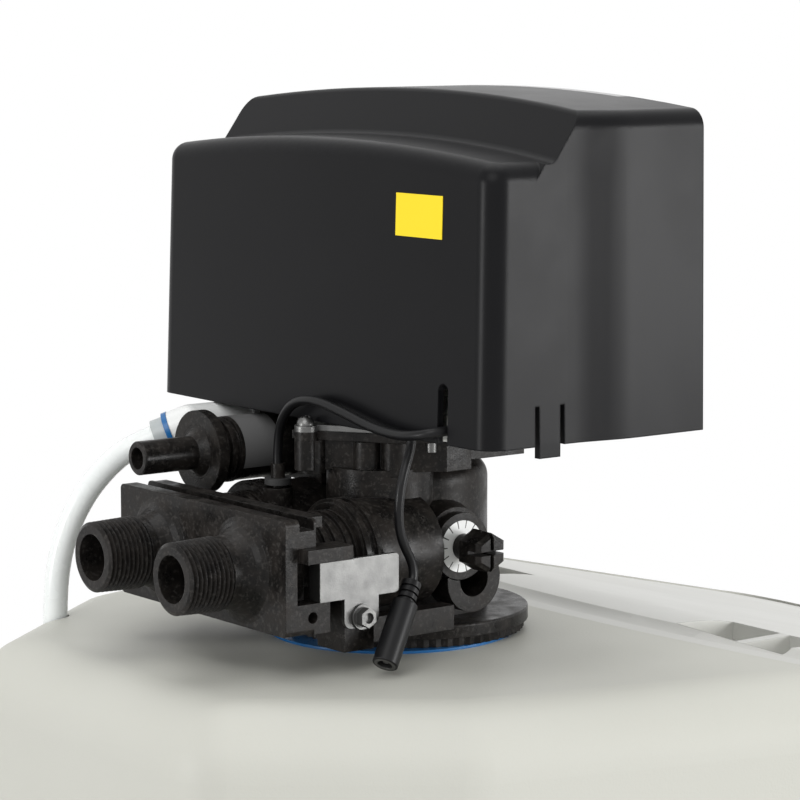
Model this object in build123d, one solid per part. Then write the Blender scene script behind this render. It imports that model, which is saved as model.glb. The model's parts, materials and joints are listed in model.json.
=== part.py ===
from build123d import *
from math import cos, pi, radians, sin, tan
import os

# A cabinet water softener: resin tank, control valve, rear manifold and brine system.
# Millimetres. The origin is on the floor under the valve axis, +Z up, ports towards +Y.
# Valve pieces are drawn with level 0 at the flange rim and are raised to rim_height.

# Cabinet
deck_height = 890.0
cabinet_shift = 6.0
back_y = 145.0
back_corner_x = 75.0
chamfer_x = 135.0
chamfer_y = 68.0
flare_x = 172.0
flare_y = -62.0
front_y = -355.0
front_corner = 45.0
wall_corner = 26.0
top_round = 24.0
cabinet_wall = 4.0
base_thickness = 6.0
neck_hole = 41.5
tube_hole = 5.6
tube_hole_x = 99.0
tube_hole_y = 96.0

# Salt lid and the recess that holds it
slope_start_y = -104.0
slope_drop = 58.0
ridge_round = 150.0
lid_half_width = 150.0
lid_front_y = -334.0
lid_corner = 24.0
lid_rear_corner = 8.0
seam_y = -64.0
seam_radius = 1100.0
seam_gap = 2.2
lid_drop = 1.0
lid_wall = 4.5
lid_skirt = 12.0
lid_skirt_wall = 3.5
gutter_depth = 2.4
gutter_radius = 12.0
gutter_inset = 15.0
ledge_gap = 0.4
ledge_width = 12.0
pocket_x = 60.0
pocket_width = 58.0
pocket_y = -88.0
pocket_length = 30.0
pocket_depth = 7.0
pocket_floor = 2.0
pocket_rib = 5.0
pivot_y = -98.0
pivot_drop = 10.8
hinge_bar_width = 12.0
hinge_bar_height = 14.0
hinge_x = 130.0
lug_width = 8.0
lug_radius = 4.2
ear_radius = 3.3
ear_width = 4.0
pin_radius = 2.0
running_gap = 0.05
side_gap = 0.5

# Tank, media and pipes inside it
tank_radius = 128.5
tank_wall = 3.0
tank_bottom = 14.0
dome_height = 96.0
neck_radius = 38.0
neck_wall = 4.4
boot_height = 120.0
boot_wall = 4.0
resin_top = 560.0
fill_gap = 0.3
riser_radius = 13.35
riser_wall = 1.6
basket_radius = 25.0
basket_height = 60.0
basket_wall = 2.0
basket_rib = 2.4
basket_gap = 30.0
seal_wire = 2.4

# Brine system in the salt bin
well_x = 108.0
well_y = -212.0
well_radius = 38.0
well_wall = 2.0
well_height = 700.0
well_slots = 3
well_slot = 6.0
cap_height = 14.0
spigot_radius = 4.7
spigot_height = 16.0
float_radius = 24.0
float_height = 60.0
float_level = 180.0
rod_radius = 2.5
float_body_radius = 17.0
float_body_height = 70.0

# Valve body, levels counted from the flange rim
flange_radius = 45.5
flange_height = 5.0
flange_round = 0.8
skirt_radius = 44.0
skirt_height = 3.4
skirt_tooth = 0.9
skirt_teeth = 60
neck_ring_radius = 46.0
neck_ring_height = 1.0
neck_ring_x = 1.6
neck_ring_y = 7.0
plug_radius = 31.0
plug_depth = 30.0
plug_bore = 26.0
barrel_radius = 30.0
barrel_top = 57.0
barrel_round = 8.0
throat_radius = 20.0
throat_x = -12.0
throat_y = 22.0
head_left = 22.0
head_right = -42.0
head_back = 51.5
head_front = -42.0
head_notch_x = 2.7
head_notch_y = 36.0
head_bevel_x = -32.5
head_bevel_y = 29.0
head_side_y = 12.0
head_bottom = 56.0
head_top = 67.0
head_inset = 3.0
head_step_y = 0.6
head_front_bottom = 63.0
flapper_row_half = 7.5
lobe_radius = 5.2
lobe_drop = 1.4
plate_height = 3.2
spring_height = 2.2
spring_reach = 1.2
screw_radius = 3.2
screw_rise = 3.6
screw_shank = 1.9
screw_depth = 9.0
screw_clearance = 0.3
ear_rim = 1.0
rear_screw_x = -3.4
rear_screw_y = 49.6
side_screw_y = 22.0
front_screw_y = -34.0
side_screw_inset = 6.0
arm_left = 78.0
arm_back = 28.0
arm_front = -6.0
arm_bottom = 46.0
arm_top = 67.0
injector_cap_left = 76.0
injector_cap_right = 44.0
injector_cap_front = -2.0
injector_cap_top = 75.0
injector_radius = 5.0
injector_length = 22.0
flapper_radius = 4.2
flapper_height = 8.0
flapper_count = 6
flapper_pitch = 9.6
flapper_bore = 5.2
socket_radius = 20.0
socket_start = 18.7
riser_stop = 8.0
socket_end = 55.0
socket_rib = 1.4
socket_rib_width = 2.2
rib_inset = 0.8
rib_pitch = 5.0
coupling_seat = 10.0
side_boss_face = -40.0
side_boss_radius = 12.3
side_boss_bore = 6.5
side_boss_level = 15.0
side_bore_length = 16.0
foot_inner_x = 38.0
foot_outer_x = 46.0
foot_front = 14.0
foot_back = 60.0
foot_base = -1.0
foot_top = 8.0
post_face_x = 54.0
post_front = 56.5
post_back = 69.5
post_top = 17.0

# Rear manifold
port_x = 26.2
port_level = 27.2
port_face = 123.4
thread_radius = 13.33
thread_pitch = 1.814
thread_depth = 1.2
thread_taper = 1 / 32
thread_count = 10
port_bore = 8.5
neck_end = 105.0
flare_radius = 19.0
plate_back = 94.0
plate_front = 81.0
plate_half_width = 53.3
plate_bottom = 7.0
plate_top = 48.0
block_front = 75.0
block_inner_x = 45.0
block_top = 18.0
window_top = 33.0
window_back = 89.0
bar_half_width = 58.3
bar_inner_x = 48.0
bar_top_level = 38.0
bar_back = 88.0
bar_front = 68.6
ledge_half_width = 50.0
ledge_front = 76.0
ledge_back = 82.0
channel_back = 88.0
channel_depth = 4.0
boss_wall = 2.0
socket_depth = 12.0
side_hole = 2.0
side_hole_y = 82.5
side_hole_level = 13.0
coupling_radius = 17.6
coupling_bore = 10.5
coupling_collar = 16.2
coupling_ribs = 4
coupling_rib_width = 2.0
clip_thickness = 1.6
clip_front = 46.6
clip_back = 81.0
clip_bottom = 18.4
clip_top = 32.6
clip_tab_front = 55.5
clip_tab_back = 70.5
clip_tab_bottom = 7.6
clip_return = 5.0
clip_tab_overlap = 3.0
clip_screw_y = 63.0
clip_screw_level = 11.5
clip_washer = 4.6
clip_washer_height = 1.0
clip_head_height = 3.4
turbine_radius = 8.0
turbine_blades = 6
turbine_length = 9.0
turbine_y = 65.5
blade_sheet = 0.9
blade_twist = 25
axle_radius = 1.0
cage_reach = 4.0
cage_bar = 2.0

# Drain line parts
drain_x = 40.0
drain_level = 59.0
drain_end = 95.0
stub_radius = 6.3
stub_bore = 4.1
stub_base_radius = 10.2
stub_shoulder = 3.0
stub_edge = 0.5
housing_radius = 12.4
housing_wall = 4.0
housing_end = 60.5
housing_lip = 64.0
housing_groove = 2.0
housing_groove_depth = 1.2
drain_clip_radius = 15.6
drain_clip_front = 64.4
drain_clip_back = 68.6
clip_window = 3.2
clip_window_height = 7.0
label_height = 0.3
label_start = 39.0
label_length = 16.0
washer_height = 4.0
washer_hole = 1.6

# Brine elbow, collet and tube
elbow_x = 65.0
elbow_level = 66.0
elbow_radius = 7.2
elbow_leg = 27.2
elbow_spout = 7.2
elbow_collar = 1.0
elbow_collar_length = 3.0
elbow_way_shares = (0.58, 0.73, -0.36)
tube_radius = 4.76
collet_radius = 6.2
collet_length = 5.0
collet_stem = 1.4
clip_ring_height = 2.0
clip_ring_radius = 7.4

# Blending valve on the side
blend_y = 6.0
blend_level = 28.0
blend_boss_radius = 14.0
blend_root_radius = 19.0
blend_root_x = -18.0
blend_boss_face = -36.5
cap_radius = 12.4
cap_face = -40.5
dial_radius = 9.6
dial_height = 1.0
knob_radius = 7.6
knob_reach = 17.5
knob_slot = 1.5
knob_slot_depth = 6.0
knob_neck = 6.0
knob_neck_radius = 4.8
stem_radius = 4.0

# Leads
sensor_x = 14.7
sensor_y = 49.5
sensor_boss = 5.6
sensor_seat = 47.2
plug_height = 9.0
plug_half = 2.6
sensor_wire = 1.8
tie_level = 48.3
tie_height = 2.4
tie_wall = 2.4
tie_lock = 1.2
jack_end_place = (-64.8, 59.8, -4.7)
jack_way_shares = (0.293, -0.582, 0.758)
jack_radius = 4.7
jack_length = 25.0
jack_edge = 0.5
relief_radius = 3.5
relief_length = 8.5
relief_groove = 0.8
relief_pitch = 2.4
relief_rings = 3
jack_bore = 2.75
jack_depth = 9.5
jack_pin = 1.0
jack_sleeve = 3.9
jack_wire = 1.7

# Control module inside the cover
base_left = 40.0
base_right = -84.0
base_back = 38.0
base_front = -42.0
base_lift = 0.8
base_sheet = 3.0
base_opening_half = 20.0
base_opening_back = 26.0
foot_half = 14.0
foot_depth = 5.0
tongue_x = -53.3
tongue_half = 5.0
tongue_back = 41.2
cam_x = -14.0
front_wall_half = 84.0
front_wall_top = 160.0
bearing_wall_y = 30.0
bearing_wall_half = 18.0
bearing_wall_top = 106.0
post_width = 12.0
post_depth = 12.0
post_height = 9.0
lead_rise = 5.0
cam_level = 92.0
shaft_radius = 4.0
cam_radius = 9.5
cam_offset = 2.4
cam_width = 6.0
gear_module = 1.0
gear_teeth = 30
pinion_teeth = 10
gear_width = 6.0
gear_backlash = 0.45
gear_spokes = 6
motor_radius = 18.0
motor_length = 24.0
motor_offset = 12.0
motor_edge = 1.5
motor_shaft = 2.5
motor_foot = 6.0
board_half = 62.0
board_bottom = 100.0
board_top = 156.0
board_gap = 3.0
board_sheet = 1.6
board_corner = 2.0
standoff_inset = 5.0
fascia_foot_inset = 6.0
fascia_foot_rise = 12.0
display_half = 30.0
display_bottom = 128.0
display_height = 22.0
display_depth = 3.6
standoff_radius = 3.0

# Cover and fascia
cover_half_bottom = 103.0
cover_half_top = 101.0
cover_back_bottom = 45.5
cover_back_top = 42.0
cover_front = -52.0
cover_corner = 8.0
cover_bow = 1.0
cover_wall = 2.6
cover_gap = 1.2
cover_flare = 3.2
flare_back = 9.0
flare_front = -20.0
tier_level = 170.3
tier_crown = 6.6
tier_foot = 15.0
tier_crest = 2.5
foot_round = 4.0
crest_round = 3.0
top_level = 187.5
top_crown = 6.6
roof_round = 7.0
lip_depth = 12.0
lip_level = 177.0
cover_slot_x = -78.0
cover_slot_width = 5.6
cover_slot_height = 21.0
latch_y = 17.0
latch_width = 9.4
latch_slot = 1.9
latch_slot_height = 14.0
latch_drop = 4.2
cover_label_x = -62.5
cover_label_level = 152.0
cover_label_width = 26.0
cover_label_height = 15.0
cover_label_sheet = 0.25
fascia_sheet = 3.4
fascia_gap = 0.4
fascia_bottom = 75.0
window_half = 34.0
window_margin = 3.0
button_width = 15.0
button_height = 9.0
button_level = 108.0
button_pitch = 24.0
button_gap = 0.4
button_proud = 1.6
button_stem = 3.0
button_travel = 0.8
button_corner = 2.0
button_edge = 0.5

# How far cuts overrun a face, and how far joined solids reach into each other
cut_margin = 2.0
bite = 1.0
arc_share = 0.45

# Levels that follow from the sizes above
rim_height = deck_height + neck_ring_height + skirt_height + flange_height
plate_seat = head_top + plate_height
spring_top = plate_seat + spring_height
base_level = spring_top + base_lift
cover_bottom = spring_top + cover_gap
neck_top = deck_height - neck_ring_height - 2 * seal_wire


# Building blocks


def block(x, y, z):
    size = Box(abs(x[1] - x[0]), abs(y[1] - y[0]), abs(z[1] - z[0]))
    return Pos((x[0] + x[1]) / 2, (y[0] + y[1]) / 2, (z[0] + z[1]) / 2) * size


def spread(middle, half):
    return (middle - half, middle + half)


def sided(side, first, second):
    # a span on the left (side 1) or the right (side -1) of the valve axis
    return tuple(sorted((side * first, side * second)))


def rod(axis, radius, low, high, first=0, second=0):
    # first and second are the two coordinates across the axis, in X, Y, Z order
    middle = (low + high) / 2
    place = {"x": (middle, first, second), "y": (first, middle, second), "z": (first, second, middle)}
    turn = {"x": (0, 90, 0), "y": (90, 0, 0), "z": (0, 0, 0)}
    return Pos(*place[axis]) * Rot(*turn[axis]) * Cylinder(radius, abs(high - low))


def ring(axis, outer, inner, low, high, first=0, second=0):
    bore = rod(axis, inner, low - cut_margin, high + cut_margin, first, second)
    return rod(axis, outer, low, high, first, second) - bore


def turned(points, axis="z", first=0, second=0):
    # a closed outline of (radius, distance along the axis), turned about that axis
    solid = revolve(make_face(Polyline([(r, 0, h) for r, h in points], close=True)), Axis.Z)
    turn = {"x": (0, 90, 0), "y": (-90, 0, 0), "z": (0, 0, 0)}
    place = {"x": (0, first, second), "y": (first, 0, second), "z": (first, second, 0)}
    return Pos(*place[axis]) * Rot(*turn[axis]) * solid


def prism_x(points, low, high):
    # an outline of (y, z) points, drawn out along X
    face = make_face(Polyline([(low, y, z) for y, z in points], close=True))
    return extrude(face, amount=high - low, dir=(1, 0, 0))


def prism_z(points, low, high):
    face = make_face(Polyline([(x, y, low) for x, y in points], close=True))
    return extrude(face, amount=high - low, dir=(0, 0, 1))


def joined(shapes):
    total = shapes[0]
    for shape in shapes[1:]:
        total = total + shape
    return total


def cord(points, radius):
    # straight runs joined by tangent arcs, each as large as its two runs allow
    spots = [Vector(*p) for p in points]
    radii = []
    for before, here, after in zip(spots, spots[1:], spots[2:]):
        turn = radians((here - before).get_angle(after - here))
        run = min((here - before).length, (after - here).length)
        radii.append(arc_share * run / tan(turn / 2))
    path = FilletPolyline(*spots, radius=radii)
    start = Plane(origin=spots[0], z_dir=spots[1] - spots[0])
    solid = sweep(start * Circle(radius), path=path)
    share = solid.volume / (pi * radius ** 2 * path.length)
    print("cord length", round(path.length, 1), "volume over section times length", round(share, 4))
    print("  radii", [round(r, 1) for r in radii])
    return solid


saved = []


def save(name, shape, level=0):
    export_step(Pos(0, 0, level) * shape, f"parts/{name}.step")
    saved.append(name)


def save_valve(name, shape):
    save(name, shape, rim_height)


# Cabinet and salt lid


def cabinet_plan(inset):
    half = [(back_corner_x, back_y), (chamfer_x, chamfer_y), (flare_x, flare_y), (flare_x, front_y)]
    right = [(cabinet_shift + x, y) for x, y in half]
    left = [(cabinet_shift - x, y) for x, y in reversed(half)]
    outline = make_face(Polyline([(x, y, 0) for x, y in right + left], close=True))
    return offset(outline, -inset, kind=Kind.INTERSECTION) if inset else outline


def top_fall(y):
    # how far the sloping front of the top lies below the level deck
    return max(0, (slope_start_y - y) * slope_drop / (slope_start_y - front_y))


def under_top(drop, floor, back, front):
    top = deck_height - drop
    line = [(back, top), (slope_start_y, top), (front, top - top_fall(front))]
    shape = prism_x(line + [(front, floor), (back, floor)], -2 * flare_x, 2 * flare_x)
    return fillet(crest_edges(shape, top), ridge_round)


def crest_edges(shape, top):
    level = [e for e in shape.edges().filter_by(Axis.X) if abs(e.center().Z - top) < bite]
    return [e for e in level if abs(e.center().Y - slope_start_y) < bite]


def cabinet_solid(inset, floor):
    # the cabinet's outer form, or the room inside it when inset is the wall
    shape = Pos(0, 0, floor) * extrude(cabinet_plan(inset), amount=deck_height)
    upright = shape.edges().filter_by(Axis.Z)
    shape = fillet([e for e in upright if e.center().Y < flare_y - bite], front_corner - inset)
    upright = [e for e in shape.edges().filter_by(Axis.Z) if e.center().Y > flare_y - bite]
    shape = fillet([e for e in upright if e.geom_type == GeomType.LINE and is_corner(e)],
                   wall_corner - inset)
    shape = shape & under_top(inset, floor, back_y + cut_margin, front_y - cut_margin)
    rim = [e for e in shape.edges() if e.bounding_box().min.Z > deck_height / 2 and not crosses(e)]
    return fillet(rim, top_round - inset)


def is_corner(edge):
    return edge.center().Y >= flare_y - bite


def crosses(edge):
    # the tangent lines that run across the top beside the crest
    box = edge.bounding_box()
    return box.size.X > flare_x and abs(edge.center().Y - slope_start_y) < ridge_round / 2


def seam_disc(shift, low, high):
    # everything in front of the curved seam between deck and lid
    return rod("z", seam_radius + shift, low, high, cabinet_shift, seam_y - seam_radius)


def lid_plan(inset, low, high):
    half = lid_half_width - inset
    slab = block(spread(cabinet_shift, half), (lid_front_y + inset, 0), (low, high))
    slab = slab & seam_disc(-inset, low, high)
    upright = slab.edges().filter_by(Axis.Z)
    slab = fillet([e for e in upright if e.center().Y < slope_start_y], lid_corner - inset)
    rear = [e for e in slab.edges().filter_by(Axis.Z) if e.center().Y > slope_start_y
            and abs(abs(e.center().X - cabinet_shift) - half) < bite]
    return fillet(rear, max(lid_rear_corner - inset, bite))


def recess_drop():
    return lid_drop + lid_skirt + ledge_gap


def make_cabinet():
    back, front = back_y + cut_margin, front_y - cut_margin
    body = cabinet_solid(0, 0)
    room = cabinet_solid(cabinet_wall, base_thickness)
    rear = room - seam_disc(seam_gap + cabinet_wall, base_thickness, deck_height)
    low = room & under_top(recess_drop() + cabinet_wall, 0, back, front)
    body = body - rear - low
    floor = deck_height / 2
    hatch = lid_plan(-seam_gap, floor, deck_height + cut_margin)
    body = body - (hatch - under_top(recess_drop(), 0, back, front))
    mouth = lid_plan(ledge_width, floor, deck_height)
    swing = lid_plan(-seam_gap, floor, deck_height)
    swing = swing & block((-flare_x, 2 * flare_x), (slope_start_y, 0), (floor, deck_height))
    body = body - mouth - swing
    body = body + hinge_bar() + hinge_ears(1) + hinge_ears(-1)
    for side in (-1, 1):
        middle = cabinet_shift + side * hinge_x
        body = body - rod("x", pin_radius + running_gap, *spread(middle, hinge_reach() + bite), pivot_y,
                          pivot_level())
    body = body - rod("z", neck_hole, floor, deck_height + cut_margin)
    body = body - rod("z", tube_hole, floor, deck_height + cut_margin, tube_hole_x, tube_hole_y)
    save("cabinet_shell", body)


def pivot_level():
    return deck_height - pivot_drop


def hinge_reach():
    return lug_width / 2 + side_gap + ear_width


def bar_top():
    return deck_height - recess_drop() - ear_radius


def hinge_bar():
    return block(spread(cabinet_shift, flare_x - cabinet_wall / 2),
                 (slope_start_y - hinge_bar_width, slope_start_y),
                 (bar_top() - hinge_bar_height, bar_top()))


def hinge_ears(side):
    ears = []
    for end in (-1, 1):
        middle = cabinet_shift + side * hinge_x + end * (lug_width / 2 + side_gap + ear_width / 2)
        span = spread(middle, ear_width / 2)
        ears.append(rod("x", ear_radius, *span, pivot_y, pivot_level()))
        outline = [(pivot_y, pivot_level() + ear_radius / 2), (pivot_y, pivot_level() - ear_radius),
                   (slope_start_y, bar_top() - hinge_bar_height), (slope_start_y - bite, bar_top()),
                   (slope_start_y, pivot_level() - ear_radius / 2)]
        ears.append(prism_x(outline, *span))
    return joined(ears)


def make_hinge_pins():
    pins = []
    for side in (-1, 1):
        middle = cabinet_shift + side * hinge_x
        pins.append(rod("x", pin_radius, *spread(middle, hinge_reach()), pivot_y, pivot_level()))
    save("lid_hinge_pins", Compound(children=pins))


def make_lid():
    back, front = back_y + cut_margin, front_y - cut_margin
    floor = deck_height / 2
    shape = lid_plan(0, floor, deck_height + cut_margin) & under_top(lid_drop, floor, back, front)
    shape = shape - under_top(lid_drop + lid_skirt, 0, back, front)
    gutter = Torus(seam_radius - gutter_inset, gutter_radius)
    gutter_level = deck_height - lid_drop - gutter_depth + gutter_radius
    shape = shape - Pos(cabinet_shift, seam_y - seam_radius, gutter_level) * gutter
    room = lid_plan(lid_skirt_wall, floor, deck_height)
    shape = shape - (room & under_top(lid_drop + lid_wall + gutter_depth / 2, 0, back, front))
    for side in (-1, 1):
        shape = shape + pocket(side, pocket_floor) - pocket(side, 0) + pocket_rib_solid(side)
        shape = shape + lid_lug(side)
        middle = cabinet_shift + side * hinge_x
        shape = shape - rod("x", pin_radius + running_gap, *spread(middle, lug_width), pivot_y,
                            pivot_level())
    save("salt_lid", shape)


def pocket(side, wall):
    # the finger pocket, or with a wall the tray that it is cut into
    middle = cabinet_shift + side * (pocket_x + pocket_width / 2)
    span = spread(middle, pocket_width / 2 + wall)
    front = pocket_y - pocket_length
    level = deck_height - lid_drop - top_fall(front)
    top = level - lid_wall / 2 if wall else deck_height + cut_margin
    return block(span, (front - wall, pocket_y + wall), (level - pocket_depth - wall, top))


def pocket_rib_solid(side):
    middle = cabinet_shift + side * (pocket_x + pocket_width / 2)
    front = pocket_y - pocket_length
    level = deck_height - lid_drop - top_fall(front)
    return block(spread(middle, pocket_rib / 2), (front, pocket_y), (level - pocket_depth, level))


def lid_lug(side):
    span = spread(cabinet_shift + side * hinge_x, lug_width / 2)
    eye = rod("x", lug_radius, *span, pivot_y, pivot_level())
    neck = block(span, spread(pivot_y, lug_radius), (pivot_level(), deck_height - lid_drop - lid_wall / 2))
    return eye + neck


# Tank and what it holds


def bulge(radius, low, rise, end_radius, steps=10):
    # a quarter of an ellipse from the wall to the neck, as (radius, height) points
    points = []
    for i in range(steps + 1):
        angle = radians(90 * i / steps)
        points.append((end_radius + (radius - end_radius) * cos(angle), low + rise * sin(angle)))
    return points


def tank_bowl(inset):
    rise = dome_height / 2 - inset
    middle = tank_bottom + dome_height / 2
    return [(r, 2 * middle - h) for r, h in reversed(bulge(tank_radius - inset, middle, rise, 0))]


def make_tank():
    shoulder = neck_top - basket_height / 2 - dome_height
    outer = tank_bowl(0) + bulge(tank_radius, shoulder, dome_height, neck_radius)
    outer = outer + [(neck_radius, neck_top), (0, neck_top)]
    bore = neck_radius - neck_wall
    inner = tank_bowl(tank_wall)
    inner = inner + bulge(tank_radius - tank_wall, shoulder, dome_height - tank_wall, bore)
    inner = inner + [(bore, neck_top + cut_margin), (0, neck_top + cut_margin)]
    save("resin_tank", turned(outer) - turned(inner))
    cup = rod("z", tank_radius + fill_gap + boot_wall, base_thickness, base_thickness + boot_height)
    bowl = tank_bowl(-fill_gap)
    top = base_thickness + boot_height + cut_margin
    save("tank_boot", cup - turned(bowl + [(tank_radius + fill_gap, top), (0, top)]))


def make_tank_fill():
    foot = tank_bottom + tank_wall + basket_gap
    inset = tank_wall + fill_gap
    bed = turned(tank_bowl(inset) + [(tank_radius - inset, resin_top), (0, resin_top)])
    bed = bed - rod("z", basket_radius + fill_gap, foot, foot + basket_height)
    bed = bed - rod("z", riser_radius + fill_gap, foot, resin_top + cut_margin)
    save("resin_bed", bed)
    save("riser_tube", ring("z", riser_radius, riser_radius - riser_wall, foot + basket_height,
                            rim_height + riser_stop))
    low = basket(foot, foot + basket_height)
    low = low - rod("z", riser_radius - riser_wall, foot + basket_height / 2,
                    foot + basket_height + cut_margin)
    save("lower_basket", low)
    top = deck_height + neck_ring_height - plug_depth
    upper = basket(top - basket_height, top)
    upper = upper + rod("z", plug_bore - running_gap, top, top + basket_rib)
    upper = upper - rod("z", riser_radius + running_gap, top - basket_height - bite, top + cut_margin * 2)
    save("upper_basket", upper)


def basket(low, high):
    # a strainer with closely set rings round it
    core = basket_radius - basket_rib
    shape = rod("z", core, low, high) - rod("z", core - basket_wall, low + basket_wall, high - basket_wall)
    for i in range(int((high - low) / (2 * basket_rib))):
        base = low + 2 * i * basket_rib
        shape = shape + ring("z", basket_radius, core - basket_wall / 2, base, base + basket_rib)
    return shape


def make_seals():
    large = Pos(0, 0, neck_top + seal_wire) * Torus(plug_radius + seal_wire, seal_wire - running_gap)
    save("tank_seal", large)


# Brine system


def make_brine():
    foot = base_thickness
    well = ring("z", well_radius, well_radius - well_wall, foot, foot + well_height, well_x, well_y)
    for i in range(well_slots):
        level = foot + (i + 1) * 5 * well_slot
        well = well - block(spread(well_x, well_radius + bite), spread(well_y, well_slot / 2),
                            (level, level + well_slot))
    save("brine_well", well)
    top = foot + well_height
    cap = rod("z", well_radius + well_wall, top - cap_height, top + well_wall, well_x, well_y)
    cap = cap - rod("z", well_radius + running_gap, top - cap_height - bite, top, well_x, well_y)
    cap = cap - rod("z", spigot_radius + running_gap, top - bite, top + 2 * well_wall, well_x, well_y)
    save("brine_well_cap", cap)
    body_low = top - cap_height - float_body_height
    body_top = body_low + float_body_height
    body = rod("z", float_body_radius, body_low, body_top, well_x, well_y)
    arm = block(spread(well_x, well_radius), spread(well_y, well_slot), (body_top - well_slot, body_top))
    arm = arm & rod("z", well_radius - well_wall - running_gap, body_low, body_top, well_x, well_y)
    hanger = rod("z", spigot_radius, body_top - bite, spigot_top(), well_x, well_y)
    bore = rod("z", rod_radius + running_gap, body_low - bite, body_top - well_slot, well_x, well_y)
    save("float_valve_body", body + arm + hanger - bore)
    rod_top = body_low + float_body_height / 8
    ball = rod("z", float_radius, float_level, float_level + float_height, well_x, well_y)
    ball = fillet(ball.edges().filter_by(GeomType.CIRCLE), float_radius / 4)
    save("brine_float", ball + rod("z", rod_radius, float_level, rod_top, well_x, well_y))


def spigot_top():
    return base_thickness + well_height + well_wall + spigot_height


# Valve body and its plates


def skirt_solid():
    points = []
    for i in range(2 * skirt_teeth):
        angle = pi * i / skirt_teeth
        radius = skirt_radius - skirt_tooth * (i % 2)
        points.append((radius * cos(angle), radius * sin(angle)))
    return prism_z(points, -flange_height - skirt_height, -flange_height)


def head_slab(inset, low, high):
    back = head_back - inset
    points = [(head_notch_x - inset, back), (head_bevel_x + inset, head_bevel_y - inset),
              (head_right + inset, head_side_y), (head_right + inset, head_front + inset),
              (head_left - inset, head_front + inset), (head_left - inset, head_notch_y),
              (head_notch_x - inset, head_notch_y)]
    return prism_z(points, low, high)


def lobe_places():
    # round bosses along the rear bevel and at the front corners of the head
    first = (head_notch_x - lobe_radius, head_back - lobe_radius)
    last = (head_bevel_x + lobe_radius, head_bevel_y - lobe_radius / 2)
    places = [first, last]
    share = 0.66
    places.append((first[0] + share * (last[0] - first[0]), first[1] + share * (last[1] - first[1])))
    for x in (head_right + lobe_radius, head_left - lobe_radius):
        places.append((x, head_front + lobe_radius))
    return places


def screw_places():
    side = (head_right + side_screw_inset, head_left - side_screw_inset)
    places = [(rear_screw_x, rear_screw_y)]
    places += [(x, y) for x in side for y in (front_screw_y, side_screw_y - lobe_radius)]
    return places


def flapper_places():
    middle = (flapper_count - 1) / 2
    return [(cam_x, cam_row_middle() + (i - middle) * flapper_pitch) for i in range(flapper_count)]


def cam_row_middle():
    return (base_opening_back + base_front) / 2 + gear_width


def rear_ear(low, high):
    # the ear that carries the rear screw stands out beyond the bevel
    return rod("z", screw_radius + ear_rim, low, high, rear_screw_x, rear_screw_y)


def make_valve_body():
    body = rod("z", flange_radius, -flange_height, 0)
    body = fillet(body.edges().group_by(Axis.Z)[-1], flange_round)
    low = -flange_height - skirt_height
    body = body + skirt_solid() + rod("z", plug_radius, low - plug_depth, low + bite)
    barrel = rod("z", barrel_radius, -bite, barrel_top)
    body = body + fillet(barrel.edges().group_by(Axis.Z)[-1], barrel_round)
    body = body + rod("z", throat_radius, port_level, barrel_top, throat_x, throat_y)
    body = body + head_solid() + rear_ear(head_bottom, head_top)
    body = body + block((head_left - cut_margin - head_inset, arm_left), (arm_front, arm_back),
                        (arm_bottom, arm_top))
    for side in (-1, 1):
        body = body + coupling_socket(side) + clip_foot(side)
    body = body + turned([(0, blend_root_x), (blend_root_radius, blend_root_x),
                          (blend_boss_radius, blend_boss_face), (0, blend_boss_face)], "x", blend_y,
                         blend_level)
    body = body + rod("x", side_boss_radius, side_boss_face, 0, 0, side_boss_level)
    body = body - rod("x", cap_radius + fill_gap, side_boss_face - bite, blend_boss_face, blend_y,
                      blend_level)
    body = body + rod("z", sensor_boss, port_level, sensor_seat, sensor_x, sensor_y)
    body = body - waterways()
    for side in (-1, 1):
        body = body - rod("y", coupling_radius + side_gap, socket_end, post_back + bite, side * port_x,
                          port_level)
    save_valve("valve_body", body)


def head_solid():
    # the head with its lobes, thinner in front of the barrel except under the row of flappers
    head = head_slab(head_inset, head_bottom, head_top)
    for x, y in lobe_places():
        head = head + rod("z", lobe_radius, head_bottom - lobe_drop, head_top, x, y)
    low = head_bottom - lobe_drop - cut_margin
    for span in ((head_right - cut_margin, cam_x - flapper_row_half),
                 (cam_x + flapper_row_half, head_left + cut_margin)):
        head = head - block(span, (head_front - cut_margin, head_step_y), (low, head_front_bottom))
    return head


def coupling_socket(side):
    x = side * port_x
    shape = rod("y", socket_radius, socket_start, socket_end, x, port_level)
    for i in range(2):
        end = socket_end - rib_inset - i * rib_pitch
        shape = shape + rod("y", socket_radius + socket_rib, end - socket_rib_width, end, x, port_level)
    return shape


def clip_foot(side):
    beam = block(sided(side, foot_inner_x, foot_outer_x), (foot_front, foot_back), (foot_base, foot_top))
    post = block(sided(side, foot_inner_x, post_face_x), (post_front, post_back), (foot_base, post_top))
    return beam + post


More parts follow.
